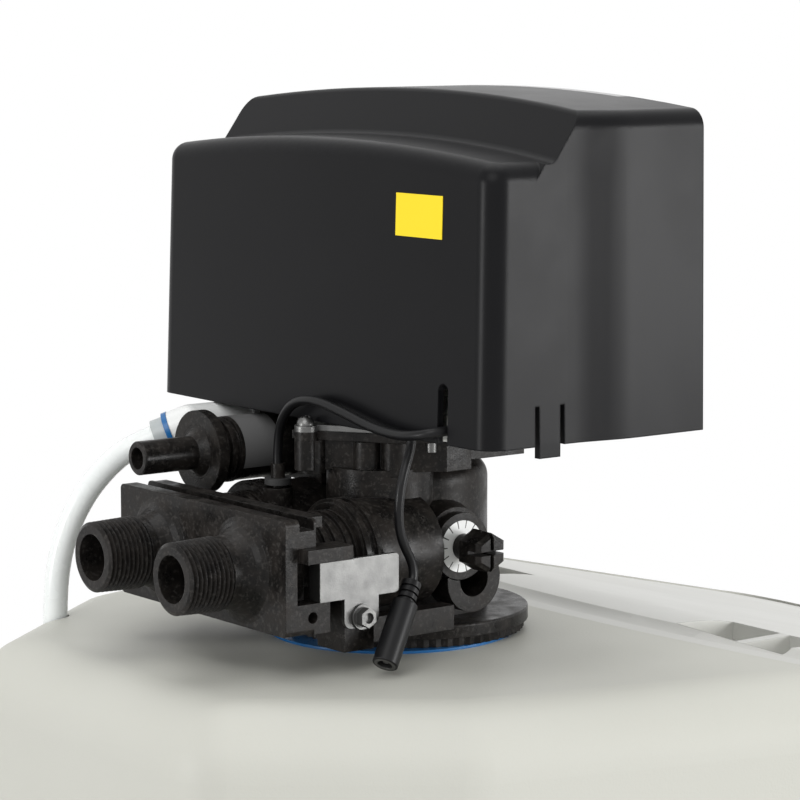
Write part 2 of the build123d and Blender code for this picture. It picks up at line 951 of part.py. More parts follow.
def waterways():
    low = -flange_height - skirt_height - plug_depth
    cuts = [rod("z", plug_bore, low - cut_margin, -flange_height)]
    cuts.append(rod("z", riser_radius + running_gap, low, riser_stop))
    cuts.append(rod("z", riser_radius - riser_wall, 0, port_level))
    for side in (-1, 1):
        x = side * port_x
        cuts.append(rod("y", coupling_bore, 0, socket_end + cut_margin, x, port_level))
        cuts.append(rod("y", coupling_radius + running_gap, socket_end - coupling_seat,
                        socket_end + cut_margin, x, port_level))
        span = sided(side, post_face_x + bite, post_face_x - screw_depth)
        cuts.append(rod("x", screw_shank + running_gap, *span, clip_screw_y, clip_screw_level))
    cuts.append(rod("x", side_boss_bore, side_boss_face - bite, side_boss_face + side_bore_length, 0,
                    side_boss_level))
    cuts.append(rod("x", stem_radius + running_gap, blend_boss_face - bite, blend_root_x, blend_y,
                    blend_level))
    for x, y in flapper_places():
        cuts.append(rod("z", flapper_bore, head_top - flapper_height, head_top + bite, x, y))
    for x, y in screw_places():
        cuts.append(rod("z", screw_shank + running_gap, spring_top - screw_depth, head_top + bite, x, y))
    for x, z in ((drain_x, drain_level), (elbow_x, elbow_level)):
        cuts.append(rod("y", stub_bore, arm_front + cut_margin, arm_back + bite, x, z))
    cuts.append(rod("z", injector_radius + running_gap, arm_top - injector_length / 2, arm_top + bite,
                    *injector_place()))
    return joined(cuts)


def injector_place():
    return ((injector_cap_left + injector_cap_right) / 2, (injector_cap_front + arm_back) / 2)


def make_plates():
    plate = head_slab(0, head_top, plate_seat) + rear_ear(head_top, plate_seat)
    spring = head_slab(spring_reach, plate_seat, spring_top) + rear_ear(plate_seat, spring_top)
    for x, y in flapper_places():
        hole = rod("z", flapper_bore, head_top - bite, spring_top + bite, x, y)
        plate, spring = plate - hole, spring - hole
    for x, y in screw_places():
        hole = rod("z", screw_shank + running_gap, head_top - bite, spring_top + bite, x, y)
        plate, spring = plate - hole, spring - hole
    save_valve("valve_plate", plate)
    save_valve("spring_plate", spring)
    flappers = []
    top = cam_level - cam_radius - cam_offset - side_gap
    for x, y in flapper_places():
        disc = rod("z", flapper_bore - running_gap, head_top - flapper_height, head_top, x, y)
        flappers.append(disc + rod("z", flapper_radius / 2, head_top - bite, top, x, y))
    save_valve("valve_flappers", Compound(children=flappers))
    save_valve("plate_screws", Compound(children=[dome_screw(x, y) for x, y in screw_places()]))


def dome_screw(x, y):
    ball = (screw_radius ** 2 + screw_rise ** 2) / (2 * screw_rise)
    top = spring_top + screw_rise
    head = Pos(x, y, top - ball) * Sphere(ball) & rod("z", screw_radius, spring_top, top, x, y)
    shank = rod("z", screw_shank, spring_top - screw_depth, spring_top + bite, x, y)
    width, depth = screw_rise / 6, screw_rise / 3
    levels = (top - depth, top + bite)
    cross = block(spread(x, screw_shank), spread(y, width), levels)
    cross = cross + block(spread(x, width), spread(y, screw_shank), levels)
    return head + shank - cross


def make_injector():
    x, y = injector_place()
    low = arm_top - injector_length / 2
    points = [(0, low), (injector_radius / 2, low), (injector_radius, arm_top - injector_radius),
              (injector_radius, arm_top), (0, arm_top)]
    nozzle = turned(points, "z", x, y) - rod("z", injector_radius / 4, low - bite, arm_top + bite, x, y)
    save_valve("injector", nozzle)
    cap = block((injector_cap_right, injector_cap_left), (injector_cap_front, arm_back),
                (arm_top, injector_cap_top - cover_gap - side_gap))
    cap = fillet(cap.edges().filter_by(Axis.Z), screw_radius)
    save_valve("injector_cap", chamfer(cap.edges().group_by(Axis.Z)[-1], screw_radius / 3))


def make_neck_ring():
    low = -flange_height - skirt_height - neck_ring_height
    collar = rod("z", neck_ring_radius, low, low + neck_ring_height, neck_ring_x, neck_ring_y)
    save_valve("tank_neck_ring", collar - rod("z", plug_radius + 2 * seal_wire, low - bite,
                                              low + neck_ring_height + bite))


# Rear manifold and couplings


def port_outline():
    # one threaded port from its face back to the plate: ridges, neck and flare
    points = [(0, plate_back - bite), (flare_radius, plate_back - bite), (flare_radius, plate_back)]
    steps = 6
    neck = thread_radius - thread_depth / 2
    for i in range(1, steps + 1):
        angle = radians(90 * i / steps)
        points.append((neck + (flare_radius - neck) * (1 - sin(angle)),
                       plate_back + (neck_end - plate_back) * (1 - cos(angle))))
    for i in range(thread_count):
        y = port_face - (thread_count - i) * thread_pitch
        crest = thread_radius - (y - neck_end) * thread_taper
        points.append((crest - thread_depth, y))
        points.append((crest, y + thread_pitch * 0.45))
        points.append((crest, y + thread_pitch * 0.55))
    points.append((thread_radius - thread_depth - (port_face - neck_end) * thread_taper, port_face))
    return points + [(0, port_face)]


def make_manifold():
    body = block((-plate_half_width, plate_half_width), (plate_front, plate_back),
                 (plate_bottom, plate_top))
    body = fillet(body.edges().filter_by(Axis.Y), side_hole)
    body = body - block(spread(0, plate_half_width + bite), (ledge_back, channel_back),
                        (plate_top - channel_depth, plate_top + bite))
    body = body + block(spread(0, ledge_half_width), (ledge_front, ledge_back),
                        (plate_top - channel_depth, plate_top))
    for side in (-1, 1):
        x = side * port_x
        body = body + block(sided(side, block_inner_x, plate_half_width),
                            (block_front, plate_front + bite), (plate_bottom, block_top))
        body = body + rod("y", coupling_radius + boss_wall, block_front, plate_front + bite, x, port_level)
        inner = port_x + coupling_radius + boss_wall
        body = body - block(sided(side, inner, plate_half_width + bite), (plate_front - bite, window_back),
                            (block_top, window_top))
        body = body + block(sided(side, bar_inner_x, bar_half_width), (bar_front, bar_back),
                            (window_top, bar_top_level))
        body = body + turned(port_outline(), "y", x, port_level)
        body = body - rod("x", side_hole, *sided(side, plate_half_width + bite, block_inner_x),
                          side_hole_y, side_hole_level)
    for side in (-1, 1):
        x = side * port_x
        body = body - rod("y", port_bore, block_front, port_face + bite, x, port_level)
        body = body - rod("y", coupling_radius + running_gap, block_front - bite,
                          block_front + socket_depth, x, port_level)
    save_valve("manifold", body)


def coupling(side):
    start, end = socket_end - coupling_seat, block_front + socket_depth
    x = side * port_x
    shape = rod("y", coupling_radius, start, end, x, port_level)
    middle = (socket_end + block_front) / 2
    half = (block_front - socket_end) / 2 - bite
    shape = shape - ring("y", coupling_radius + bite, coupling_collar, middle - half, middle + half, x,
                         port_level)
    for i in range(coupling_ribs):
        y = middle - half + 2 * half * (i + 0.5) / coupling_ribs
        shape = shape + rod("y", coupling_radius, *spread(y, coupling_rib_width / 2), x, port_level)
    return shape - rod("y", coupling_bore, start - bite, end + bite, x, port_level)


def retaining_clip(side):
    face, outer = post_face_x, post_face_x + clip_thickness
    plate = block(sided(side, face, outer), (clip_front, clip_back), (clip_bottom, clip_top))
    plate = fillet(plate.edges().filter_by(Axis.X), clip_thickness)
    tab = block(sided(side, face, outer), (clip_tab_front, clip_tab_back),
                (clip_tab_bottom, clip_bottom + clip_tab_overlap))
    low = [e for e in tab.edges().filter_by(Axis.X) if e.center().Z < clip_bottom]
    tab = fillet(low, clip_thickness * 2)
    turn = block(sided(side, outer, post_face_x - clip_return), (clip_back - clip_thickness, clip_back),
                 (clip_bottom, clip_top))
    shape = plate + tab + turn
    return shape - rod("x", screw_shank + screw_clearance, *sided(side, face - bite, outer + bite),
                       clip_screw_y, clip_screw_level)


def clip_screw(side):
    y, z = clip_screw_y, clip_screw_level
    outer = post_face_x + clip_thickness
    disc_end = outer + clip_washer_height
    head_end = disc_end + clip_head_height
    shank = rod("x", screw_shank, *sided(side, post_face_x - screw_depth, outer + bite / 2), y, z)
    disc = rod("x", clip_washer, *sided(side, outer, disc_end), y, z)
    seat = Plane(origin=(side * disc_end, y, z), z_dir=(side, 0, 0))
    head = extrude(seat * RegularPolygon(clip_washer - clip_washer_height, 6), amount=clip_head_height)
    socket = rod("x", screw_shank, *sided(side, head_end - clip_head_height / 2, head_end + bite), y, z)
    return shank + disc + head - socket


def make_manifold_parts():
    save_valve("pipe_couplings", Compound(children=[coupling(-1), coupling(1)]))
    save_valve("retaining_clips", Compound(children=[retaining_clip(-1), retaining_clip(1)]))
    save_valve("clip_screws", Compound(children=[clip_screw(-1), clip_screw(1)]))


def make_turbine():
    x, z = port_x, port_level
    low, high = spread(turbine_y, turbine_length / 2)
    hub = rod("y", turbine_radius / 3, low, high, x, z)
    for i in range(turbine_blades):
        blade = Rot(blade_twist, 0, 0) * Box(turbine_radius, turbine_length, blade_sheet)
        blade = Rot(0, 360 * i / turbine_blades, 0) * Pos(turbine_radius / 2, 0, 0) * blade
        hub = hub + Pos(x, turbine_y, z) * blade
    hub = hub & rod("y", turbine_radius, low, high, x, z)
    save_valve("turbine", hub - rod("y", axle_radius + running_gap, low - bite, high + bite, x, z))
    outer = coupling_bore - running_gap
    start, end = low - cage_reach, high + cage_reach
    cage = ring("y", outer, turbine_radius + bite, start, end, x, z)
    for y in (start + cage_bar / 2, end - cage_bar / 2):
        for angle in (45, 135):
            spoke = Box(2 * outer - cage_bar, cage_bar, cage_bar)
            cage = cage + Pos(x, y, z) * Rot(0, angle, 0) * spoke
    save_valve("turbine_cage", cage + rod("y", axle_radius, start, end, x, z))


# Drain line


def make_drain():
    x, z = drain_x, drain_level
    room = housing_radius - housing_wall
    seat = arm_back + housing_wall
    housing = rod("y", housing_radius, arm_back, housing_end, x, z)
    housing = housing + rod("y", housing_radius - housing_groove, housing_end - bite, housing_lip, x, z)
    groove = housing_end - 2 * housing_groove
    housing = housing - ring("y", housing_radius + bite, housing_radius - housing_groove_depth, groove,
                             groove + housing_groove, x, z)
    label_end = label_start + label_length
    housing = housing - ring("y", housing_radius + bite, housing_radius - label_height, label_start,
                             label_end, x, z)
    housing = housing - rod("y", room, seat, housing_lip + bite, x, z)
    housing = housing - rod("y", stub_bore, arm_back - bite, seat + bite, x, z)
    save_valve("drain_housing", housing)
    label = ring("y", housing_radius, housing_radius - label_height, label_start, label_end, x, z)
    wrap = block(spread(x, housing_radius), (label_start, label_end),
                 (z - housing_radius / 2, z + housing_radius))
    save_valve("drain_label", label & wrap)
    save_valve("flow_washer", ring("y", room - running_gap, washer_hole, seat, seat + washer_height, x, z))
    tail = seat + washer_height
    stub = rod("y", room - running_gap, tail, housing_lip, x, z)
    stub = stub + rod("y", stub_base_radius, housing_lip, drain_clip_back, x, z)
    shoulder = drain_clip_back + stub_shoulder
    stub = stub + turned([(0, drain_clip_back - bite), (stub_base_radius - bite, drain_clip_back - bite),
                          (stub_base_radius - bite, drain_clip_back), (stub_radius, shoulder),
                          (stub_radius, drain_end - stub_edge), (stub_radius - stub_edge, drain_end),
                          (0, drain_end)], "y", x, z)
    save_valve("drain_stub", stub - rod("y", stub_bore, tail - bite, drain_end + bite, x, z))
    clip = ring("y", drain_clip_radius, stub_base_radius + running_gap, drain_clip_front,
                drain_clip_back, x, z)
    window_x = x + (drain_clip_radius + stub_base_radius) / 2
    clip = clip - block(spread(window_x, clip_window / 2),
                        (drain_clip_front - bite, drain_clip_back + bite),
                        spread(z, clip_window_height / 2))
    save_valve("drain_clip", clip)


# Brine elbow and tube


def elbow_way():
    return Vector(*elbow_way_shares).normalized()


def elbow_corner():
    return Vector(elbow_x, arm_back + elbow_leg, elbow_level)


def make_elbow():
    way = elbow_way()
    seat = Plane(origin=elbow_corner(), z_dir=way)
    body = rod("y", elbow_radius, arm_back, elbow_corner().Y, elbow_x, elbow_level)
    body = body + rod("y", elbow_radius + elbow_collar, arm_back, arm_back + elbow_collar_length,
                      elbow_x, elbow_level)
    body = body + Pos(*elbow_corner()) * Sphere(elbow_radius)
    body = body + extrude(seat * Circle(elbow_radius), amount=elbow_spout)
    stem = tube_radius + collet_stem
    body = body - extrude(seat.offset(elbow_spout / 2) * Circle(stem), amount=elbow_spout)
    body = body - extrude(seat * Circle(stub_bore), amount=elbow_spout)
    body = body - rod("y", stub_bore, arm_back - bite, elbow_corner().Y, elbow_x, elbow_level)
    save_valve("brine_elbow", body)
    mouth = seat.offset(elbow_spout)
    clip = extrude(mouth * Circle(clip_ring_radius), amount=clip_ring_height)
    clip = clip - extrude(mouth.offset(-bite) * Circle(stem), amount=clip_ring_height + 2 * bite)
    save_valve("locking_clip", clip)
    collar = mouth.offset(clip_ring_height)
    collet = extrude(collar * Circle(collet_radius), amount=collet_length)
    reach = clip_ring_height + elbow_spout / 2
    collet = collet + extrude(collar.offset(-reach) * Circle(stem - running_gap), amount=reach + bite)
    collet = collet - extrude(collar.offset(-reach - bite) * Circle(tube_radius),
                              amount=reach + collet_length + 2 * bite)
    save_valve("brine_collet", collet)


def make_brine_tube():
    # from the stop inside the elbow, down through the deck and across to the brine well
    way = elbow_way()
    start = elbow_corner() + way * (elbow_spout / 2)
    collar = elbow_corner() + way * (elbow_spout + clip_ring_height + collet_length)
    bottom = spigot_top() - rim_height
    points = [start, collar + way * 9, (85.3, 80.2, 49.3), (91.2, 87.3, 37.6), (95.7, 92.5, 23.5),
              (98.3, 95.2, 8.5), (99.0, 96.0, -9.0), (100.0, 95.5, -26.0), (103.0, 91.0, -45.0),
              (110.0, 79.5, -63.0), (121.0, 60.0, -77.0), (133.0, 33.0, -86.0), (142.0, -2.0, -90.0),
              (146.0, -40.0, -90.0), (145.0, -80.0, -90.0), (141.0, -114.0, -90.5),
              (133.5, -146.0, -94.0), (122.0, -177.0, -103.0), (112.5, -201.0, -121.0),
              (well_x, well_y, bottom + 30.0), (well_x, well_y, bottom)]
    save_valve("brine_tube", cord([tuple(p) for p in points], tube_radius - running_gap))


# Blending valve


def make_blending():
    y, z = blend_y, blend_level
    bore = stem_radius + running_gap
    cap = ring("x", cap_radius, bore, cap_face, blend_boss_face, y, z)
    cap = cap - rod("x", dial_radius + running_gap, cap_face - bite, cap_face + dial_height, y, z)
    save_valve("blending_cap", cap)
    save_valve("blending_dial", ring("x", dial_radius, bore, cap_face, cap_face + dial_height, y, z))
    start = cap_face - side_gap
    end = cap_face - knob_reach
    seat = Plane(origin=(start, y, z), z_dir=(-1, 0, 0))
    knob = extrude(seat * Circle(knob_neck_radius), amount=knob_neck + bite)
    head = extrude(seat.offset(knob_neck) * RegularPolygon(knob_radius, 6), amount=start - knob_neck - end)
    head = chamfer(head.edges().group_by(Axis.X)[0], knob_radius / 5)
    knob = knob + head
    depth = (end - bite, end + knob_slot_depth)
    knob = knob - block(depth, spread(y, knob_radius + bite), spread(z, knob_slot / 2))
    knob = knob - block(depth, spread(y, knob_slot / 2), spread(z, knob_radius + bite))
    save_valve("blending_knob", knob + rod("x", stem_radius, start - bite, blend_root_x, y, z))


# Leads


def jack_way():
    return Vector(*jack_way_shares).normalized()


def make_jack():
    seat = Plane(origin=Vector(*jack_end_place), z_dir=jack_way())
    barrel = extrude(seat * Circle(jack_radius), amount=jack_length)
    barrel = fillet(barrel.edges().filter_by(GeomType.CIRCLE), jack_edge)
    body = barrel - extrude(seat.offset(-bite) * Circle(jack_sleeve), amount=jack_depth + bite)
    body = body + extrude(seat.offset(jack_length - bite) * Circle(relief_radius),
                          amount=relief_length + bite)
    for i in range(relief_rings):
        level = seat.offset(jack_length + relief_groove + relief_pitch * i)
        cut = extrude(level * Circle(relief_radius + bite), amount=relief_groove)
        body = body - (cut - extrude(level.offset(-bite) * Circle(relief_radius - relief_groove),
                                     amount=relief_groove + 2 * bite))
    save_valve("dc_jack", body)
    sleeve = extrude(seat * Circle(jack_sleeve), amount=jack_depth)
    sleeve = sleeve - extrude(seat.offset(-bite) * Circle(jack_bore), amount=jack_depth)
    pin = extrude(seat.offset(bite) * Circle(jack_pin), amount=jack_depth - bite)
    save_valve("jack_contact", sleeve + pin)


def make_jack_lead():
    end = Vector(*jack_end_place) + jack_way() * (jack_length + relief_length)
    points = [(tongue_x, 39.2, base_level), (tongue_x, 39.2, 69.5), (-55.0, 43.8, 61.5),
              (-55.2, 46.4, 51.0), (-55.0, 46.0, 38.0), tuple(end + jack_way() * 5.5), tuple(end)]
    save_valve("jack_lead", cord(points, jack_wire))


def make_sensor_lead():
    level = base_level + lead_rise
    top = sensor_seat + plug_height
    points = [(cover_slot_x, base_back, level), (cover_slot_x, 46.6, level), (-71.6, 51.0, 76.4),
              (-60.0, 51.2, 75.2), (-44.0, 50.6, 76.4), (-27.0, 50.4, 79.9), (-10.0, 50.4, 82.6),
              (3.0, 50.4, 80.6), (11.0, 50.2, 73.6), (sensor_x, sensor_y, 64.6),
              (sensor_x, sensor_y, top)]
    save_valve("sensor_lead", cord(points, sensor_wire))


def make_sensor_plug():
    plug = rod("z", plug_half, sensor_seat, sensor_seat + plug_height, sensor_x, sensor_y)
    save_valve("sensor_plug", plug)
    levels = (tie_level, tie_level + tie_height)
    tie = rod("z", plug_half + tie_wall, *levels, sensor_x, sensor_y)
    tie = tie + block((sensor_x, sensor_x + plug_half + tie_wall + tie_lock), spread(sensor_y, tie_lock),
                      levels)
    save_valve("cable_tie", tie - rod("z", plug_half + running_gap, sensor_seat, sensor_seat + plug_height,
                                      sensor_x, sensor_y))


# Control module


def motor_level():
    return cam_level + gear_module * (gear_teeth + pinion_teeth) / 2


def gear_span():
    low = base_front + base_sheet + side_gap
    return low, low + gear_width


def board_back():
    return base_front - board_gap


def fascia_back():
    return cover_front + fascia_sheet


def make_base():
    sheet = (base_level, base_level + base_sheet)
    base = block((base_right, base_left), (base_front, base_back), sheet)
    base = base + block(spread(tongue_x, tongue_half), (base_back - bite, tongue_back), sheet)
    base = base - block(spread(cam_x, base_opening_half), (base_front + base_sheet, base_opening_back),
                        (base_level - bite, base_level + base_sheet + bite))
    for x, y in screw_places():
        base = base - rod("z", screw_radius + side_gap, base_level - bite, sheet[1] + bite, x, y)
    base = base + block(spread(0, front_wall_half), (base_front, base_front + base_sheet),
                        (base_level, front_wall_top))
    base = base + block(spread(cam_x, bearing_wall_half), (bearing_wall_y, bearing_wall_y + base_sheet),
                        (base_level, bearing_wall_top))
    base = base + block(spread(cover_slot_x, post_width / 2), (base_back - post_depth, base_back),
                        (base_level, base_level + post_height))
    base = base + block(spread(cam_x, foot_half), spread(bearing_wall_y, foot_depth / 2),
                        (spring_top, base_level + bite))
    bore = shaft_radius + running_gap
    wall = (base_front - bite, base_front + base_sheet + bite)
    base = base - rod("y", bore, *wall, cam_x, cam_level)
    base = base - rod("y", motor_shaft + side_gap, *wall, cam_x, motor_level())
    base = base - rod("y", bore, bearing_wall_y - foot_depth, bearing_wall_y + base_sheet + bite, cam_x,
                      cam_level)
    for x in (standoff_inset - board_half, board_half - standoff_inset):
        for z in (board_bottom + standoff_inset, board_top - standoff_inset):
            base = base + rod("y", standoff_radius, board_back(), base_front + bite, x, z)
    for side in (-1, 1):
        x = side * (front_wall_half - fascia_foot_inset)
        for z in (base_level + fascia_foot_rise, front_wall_top - fascia_foot_rise):
            base = base + rod("y", standoff_radius, fascia_back(), base_front + bite, x, z)
    save_valve("control_base", base)


def gear_solid(teeth, level, phase):
    pitch = gear_module * teeth / 2
    width = gear_module * pi / 2 - gear_backlash
    rings = [(pitch - gear_module * 1.2, width * 0.78), (pitch, width * 0.5),
             (pitch + gear_module * 0.95, width * 0.27)]
    low, high = gear_span()
    points = []
    for i in range(teeth):
        middle = 2 * pi * (i + phase) / teeth + pi / 2
        points += [(radius, middle - half / radius) for radius, half in rings]
        points += [(radius, middle + half / radius) for radius, half in reversed(rings)]
    flat = [(cam_x + radius * cos(a), low, level + radius * sin(a)) for radius, a in points]
    return extrude(make_face(Polyline(flat, close=True)), amount=high - low, dir=(0, 1, 0))


def make_drive():
    low, high = gear_span()
    gear = gear_solid(gear_teeth, cam_level, 0)
    radius = gear_module * gear_teeth / 2
    for i in range(gear_spokes):
        angle = 2 * pi * i / gear_spokes
        gear = gear - rod("y", radius / 6, low - bite, high + bite,
                          cam_x + radius * 0.6 * cos(angle), cam_level + radius * 0.6 * sin(angle))
    save_valve("drive_gear", gear - rod("y", shaft_radius, low - bite, high + bite, cam_x, cam_level))
    shaft = rod("y", shaft_radius, base_front, bearing_wall_y + base_sheet, cam_x, cam_level)
    for i, (x, y) in enumerate(flapper_places()):
        angle = 2 * pi * i / flapper_count
        shaft = shaft + rod("y", cam_radius, *spread(y, cam_width / 2), x + cam_offset * cos(angle),
                            cam_level + cam_offset * sin(angle))
    save_valve("camshaft", shaft)
    level = motor_level()
    pinion = gear_solid(pinion_teeth, level, 0.5)
    save_valve("motor_pinion", pinion - rod("y", motor_shaft + running_gap, low - bite, high + bite,
                                            cam_x, level))
    back = high + side_gap
    middle = level + motor_offset
    motor = rod("y", motor_radius, back, back + motor_length, cam_x, middle)
    motor = fillet(motor.edges().filter_by(GeomType.CIRCLE), motor_edge)
    motor = motor + rod("y", motor_shaft, base_front, back + bite, cam_x, level)
    top = middle + motor_radius - motor_edge
    motor = motor + block(spread(cam_x, motor_foot), (base_front + base_sheet, back + motor_length / 2),
                          (top - motor_foot, top))
    save_valve("motor", motor)


def make_board():
    back = board_back()
    front = back - board_sheet
    board = block(spread(0, board_half), (front, back), (board_bottom, board_top))
    save_valve("circuit_board", fillet(board.edges().filter_by(Axis.Y), board_corner))
    save_valve("display", block(spread(0, display_half), (front - display_depth, front),
                                (display_bottom, display_bottom + display_height)))


# Cover, fascia and buttons


def cover_plan(half, back, level, inset):
    # a nearly flat back, straight sides and a flare toward the open front
    front = cover_front - (cut_margin if inset else 0)
    side = back - cover_bow
    wide = half + cover_flare
    bow = ThreePointArc((-half, side, level), (0, back, level), (half, side, level))
    edges = [bow, Line((-wide, front, level), (wide, front, level))]
    for x, end in ((half, wide), (-half, -wide)):
        edges.append(Line((x, side, level), (x, flare_back, level)))
        edges.append(Spline((x, flare_back, level), (end, flare_front, level),
                            tangents=((0, -1, 0), (0, -1, 0))))
        edges.append(Line((end, flare_front, level), (end, front, level)))
    face = make_face(edges)
    rear = [v for v in face.vertices() if v.Y > flare_back + bite]
    return fillet(rear, cover_corner - inset)


def cover_block(level, crown, inset):
    # the drafted body under one crowned roof, with the roof's outline rounded
    low = cover_bottom - (cut_margin if inset else 0)
    high = top_level + 2 * top_crown
    body = loft([cover_plan(cover_half_bottom - inset, cover_back_bottom - inset, low, inset),
                 cover_plan(cover_half_top - inset, cover_back_top - inset, high, inset)])
    body = body & crown_rod(level - inset, crown) & crown_box(level + 2 * crown)
    roof = body.faces().sort_by(Axis.Z)[-1]
    outline = [e for e in roof.edges() if e.center().Y > cover_front + bite]
    return fillet(outline, roof_round - inset)


def crown_rod(level, crown):
    half = cover_half_bottom + cover_flare
    radius = (half ** 2 + crown ** 2) / (2 * crown)
    return rod("y", radius, cover_front - 2 * cut_margin, cover_back_bottom + cut_margin, 0,
               level + crown - radius)


def crown_box(top):
    return block(spread(0, cover_half_bottom + cover_flare),
                 (cover_front - 2 * cut_margin, cover_back_bottom + cut_margin), (0, top))


def step_prism(shift):
    # everything in front of the sloping wall between the two roofs
    lean = (tier_foot - tier_crest) / (top_level - tier_level)
    reach = 2 * top_crown
    front = cover_front - 2 * cut_margin
    half = cover_half_bottom + cover_flare
    wall = [(tier_foot + shift + lean * reach, tier_level - reach), (front, tier_level - reach),
            (front, top_level + reach), (tier_crest + shift - lean * reach, top_level + reach)]
    return prism_x(wall, -half, half)


def tier_solid(inset):
    # two crowned roofs joined by a sloping wall, with a hollow at its foot and a round at its crest
    tiers = [crown_rod(level - inset, crown) & crown_box(level + 2 * crown)
             for level, crown in ((tier_level, tier_crown), (top_level, top_crown))]
    shape = tiers[0] + (tiers[1] & step_prism(-inset))
    shape = fillet(step_edges(shape)[0], foot_round)
    return fillet(step_edges(shape)[-1], crest_round)


def step_edges(shape):
    across = [e for e in shape.edges() if e.bounding_box().size.X > 2 * cover_half_bottom]
    across = [e for e in across if tier_crest - 2 * top_crown < e.center().Y < tier_foot + bite
              and e.center().Z > tier_level]
    return sorted(across, key=lambda e: e.center().Z)


def cover_solid(inset):
    rounded = cover_block(tier_level, tier_crown, inset)
    rounded = rounded + (cover_block(top_level, top_crown, inset) & step_prism(foot_round - inset))
    return rounded & tier_solid(inset)


def make_cover():
    lip = block(spread(0, cover_half_bottom + cover_flare), (cover_front, cover_front + lip_depth),
                (lip_level, top_level + top_crown))
    shell = cover_solid(0) - (cover_solid(cover_wall) - lip)
    slot_half = cover_slot_width / 2
    top = cover_bottom + cover_slot_height - slot_half
    depth = (base_back, cover_back_bottom + cut_margin)
    shell = shell - block(spread(cover_slot_x, slot_half), depth, (cover_bottom - bite, top))
    shell = shell - rod("y", slot_half, *depth, cover_slot_x, top)
    for side in (-1, 1):
        span = sided(side, cover_half_top - 2 * cover_wall, cover_half_bottom + cut_margin)
        for end in (-1, 1):
            y = latch_y + end * (latch_width + latch_slot) / 2
            shell = shell - block(span, spread(y, latch_slot / 2),
                                  (cover_bottom - bite, cover_bottom + latch_slot_height))
        tab = block(sided(side, cover_half_bottom, cover_half_bottom - cover_wall),
                    spread(latch_y, latch_width / 2), (cover_bottom - latch_drop, cover_bottom + bite))
        shell = shell + tab
    save_valve("cover", shell)


def make_cover_label():
    skin = cover_solid(-cover_label_sheet) - cover_solid(0)
    half = cover_label_width / 2
    patch = block(spread(cover_label_x, half), (0, cover_back_bottom + cut_margin),
                  spread(cover_label_level, cover_label_height / 2))
    save_valve("cover_label", skin & patch)


def make_fascia():
    y = fascia_back()
    half = cover_half_top + cover_flare - cover_wall - fascia_gap
    panel = block(spread(0, half), (y - fascia_sheet, y), (fascia_bottom, lip_level - fascia_gap))
    depth = (y - fascia_sheet - bite, y + bite)
    panel = panel - block(spread(0, window_half), depth,
                          (display_bottom - window_margin, display_bottom + display_height + window_margin))
    for x in button_places():
        panel = panel - block(spread(x, button_width / 2 + button_gap), depth,
                              spread(button_level, button_height / 2 + button_gap))
    save_valve("fascia", panel)


def button_places():
    return [(i - 1.5) * button_pitch for i in range(4)]


def make_buttons():
    y = fascia_back() - fascia_sheet
    end = board_back() - board_sheet - button_travel - side_gap / 2
    for name, x in zip(("button_set", "button_down", "button_up", "button_regenerate"), button_places()):
        pad = block(spread(x, button_width / 2), (y - button_proud, y + fascia_sheet),
                    spread(button_level, button_height / 2))
        pad = fillet(pad.edges().filter_by(Axis.Y), button_corner)
        pad = chamfer(pad.edges().group_by(Axis.Y)[0], button_edge)
        save_valve(name, pad + rod("y", button_stem, y + fascia_sheet - bite, end, x, button_level))


os.makedirs("parts", exist_ok=True)
for make in (make_cabinet, make_hinge_pins, make_lid, make_tank, make_tank_fill, make_seals, make_brine,
             make_valve_body, make_plates, make_injector, make_neck_ring, make_manifold,
             make_manifold_parts, make_turbine, make_drain, make_elbow, make_brine_tube, make_blending,
             make_jack, make_jack_lead, make_sensor_plug, make_sensor_lead, make_base, make_drive,
             make_board, make_cover, make_cover_label, make_fascia, make_buttons):
    make()
print(len(saved), "nodes")
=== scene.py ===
import bpy
import bmesh
import json
import math
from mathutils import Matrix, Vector


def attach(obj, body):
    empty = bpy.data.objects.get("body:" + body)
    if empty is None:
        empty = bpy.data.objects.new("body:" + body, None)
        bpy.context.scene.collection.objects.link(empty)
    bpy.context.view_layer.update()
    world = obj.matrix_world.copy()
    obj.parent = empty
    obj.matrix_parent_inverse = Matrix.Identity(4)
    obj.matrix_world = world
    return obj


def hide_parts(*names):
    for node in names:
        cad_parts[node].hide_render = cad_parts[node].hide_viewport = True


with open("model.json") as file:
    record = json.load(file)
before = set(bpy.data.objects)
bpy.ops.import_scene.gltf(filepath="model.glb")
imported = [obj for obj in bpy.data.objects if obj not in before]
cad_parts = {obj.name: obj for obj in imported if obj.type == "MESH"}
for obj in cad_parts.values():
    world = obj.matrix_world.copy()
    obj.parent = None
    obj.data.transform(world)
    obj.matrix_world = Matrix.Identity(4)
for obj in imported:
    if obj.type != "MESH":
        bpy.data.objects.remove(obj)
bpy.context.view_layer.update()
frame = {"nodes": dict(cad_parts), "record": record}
nodes = frame["nodes"]
scene = bpy.context.scene
scene.view_settings.view_transform = "Standard"
print("frame loaded:", len(nodes), "nodes")

# the valve's flange rim stands this far above the floor, and valve places are given from it in mm
rimHeight = 0.8994
mmPerMetre = 1000


def valvePlace(x, y, z):
    return Vector((x / mmPerMetre, y / mmPerMetre, z / mmPerMetre + rimHeight))


cameraSet = {"place": valvePlace(-887.7, 680.0, 226.5), "turn": 52.7, "tilt": 7.6, "lens": 135, "sensor": 36,
             "near": 0.02}


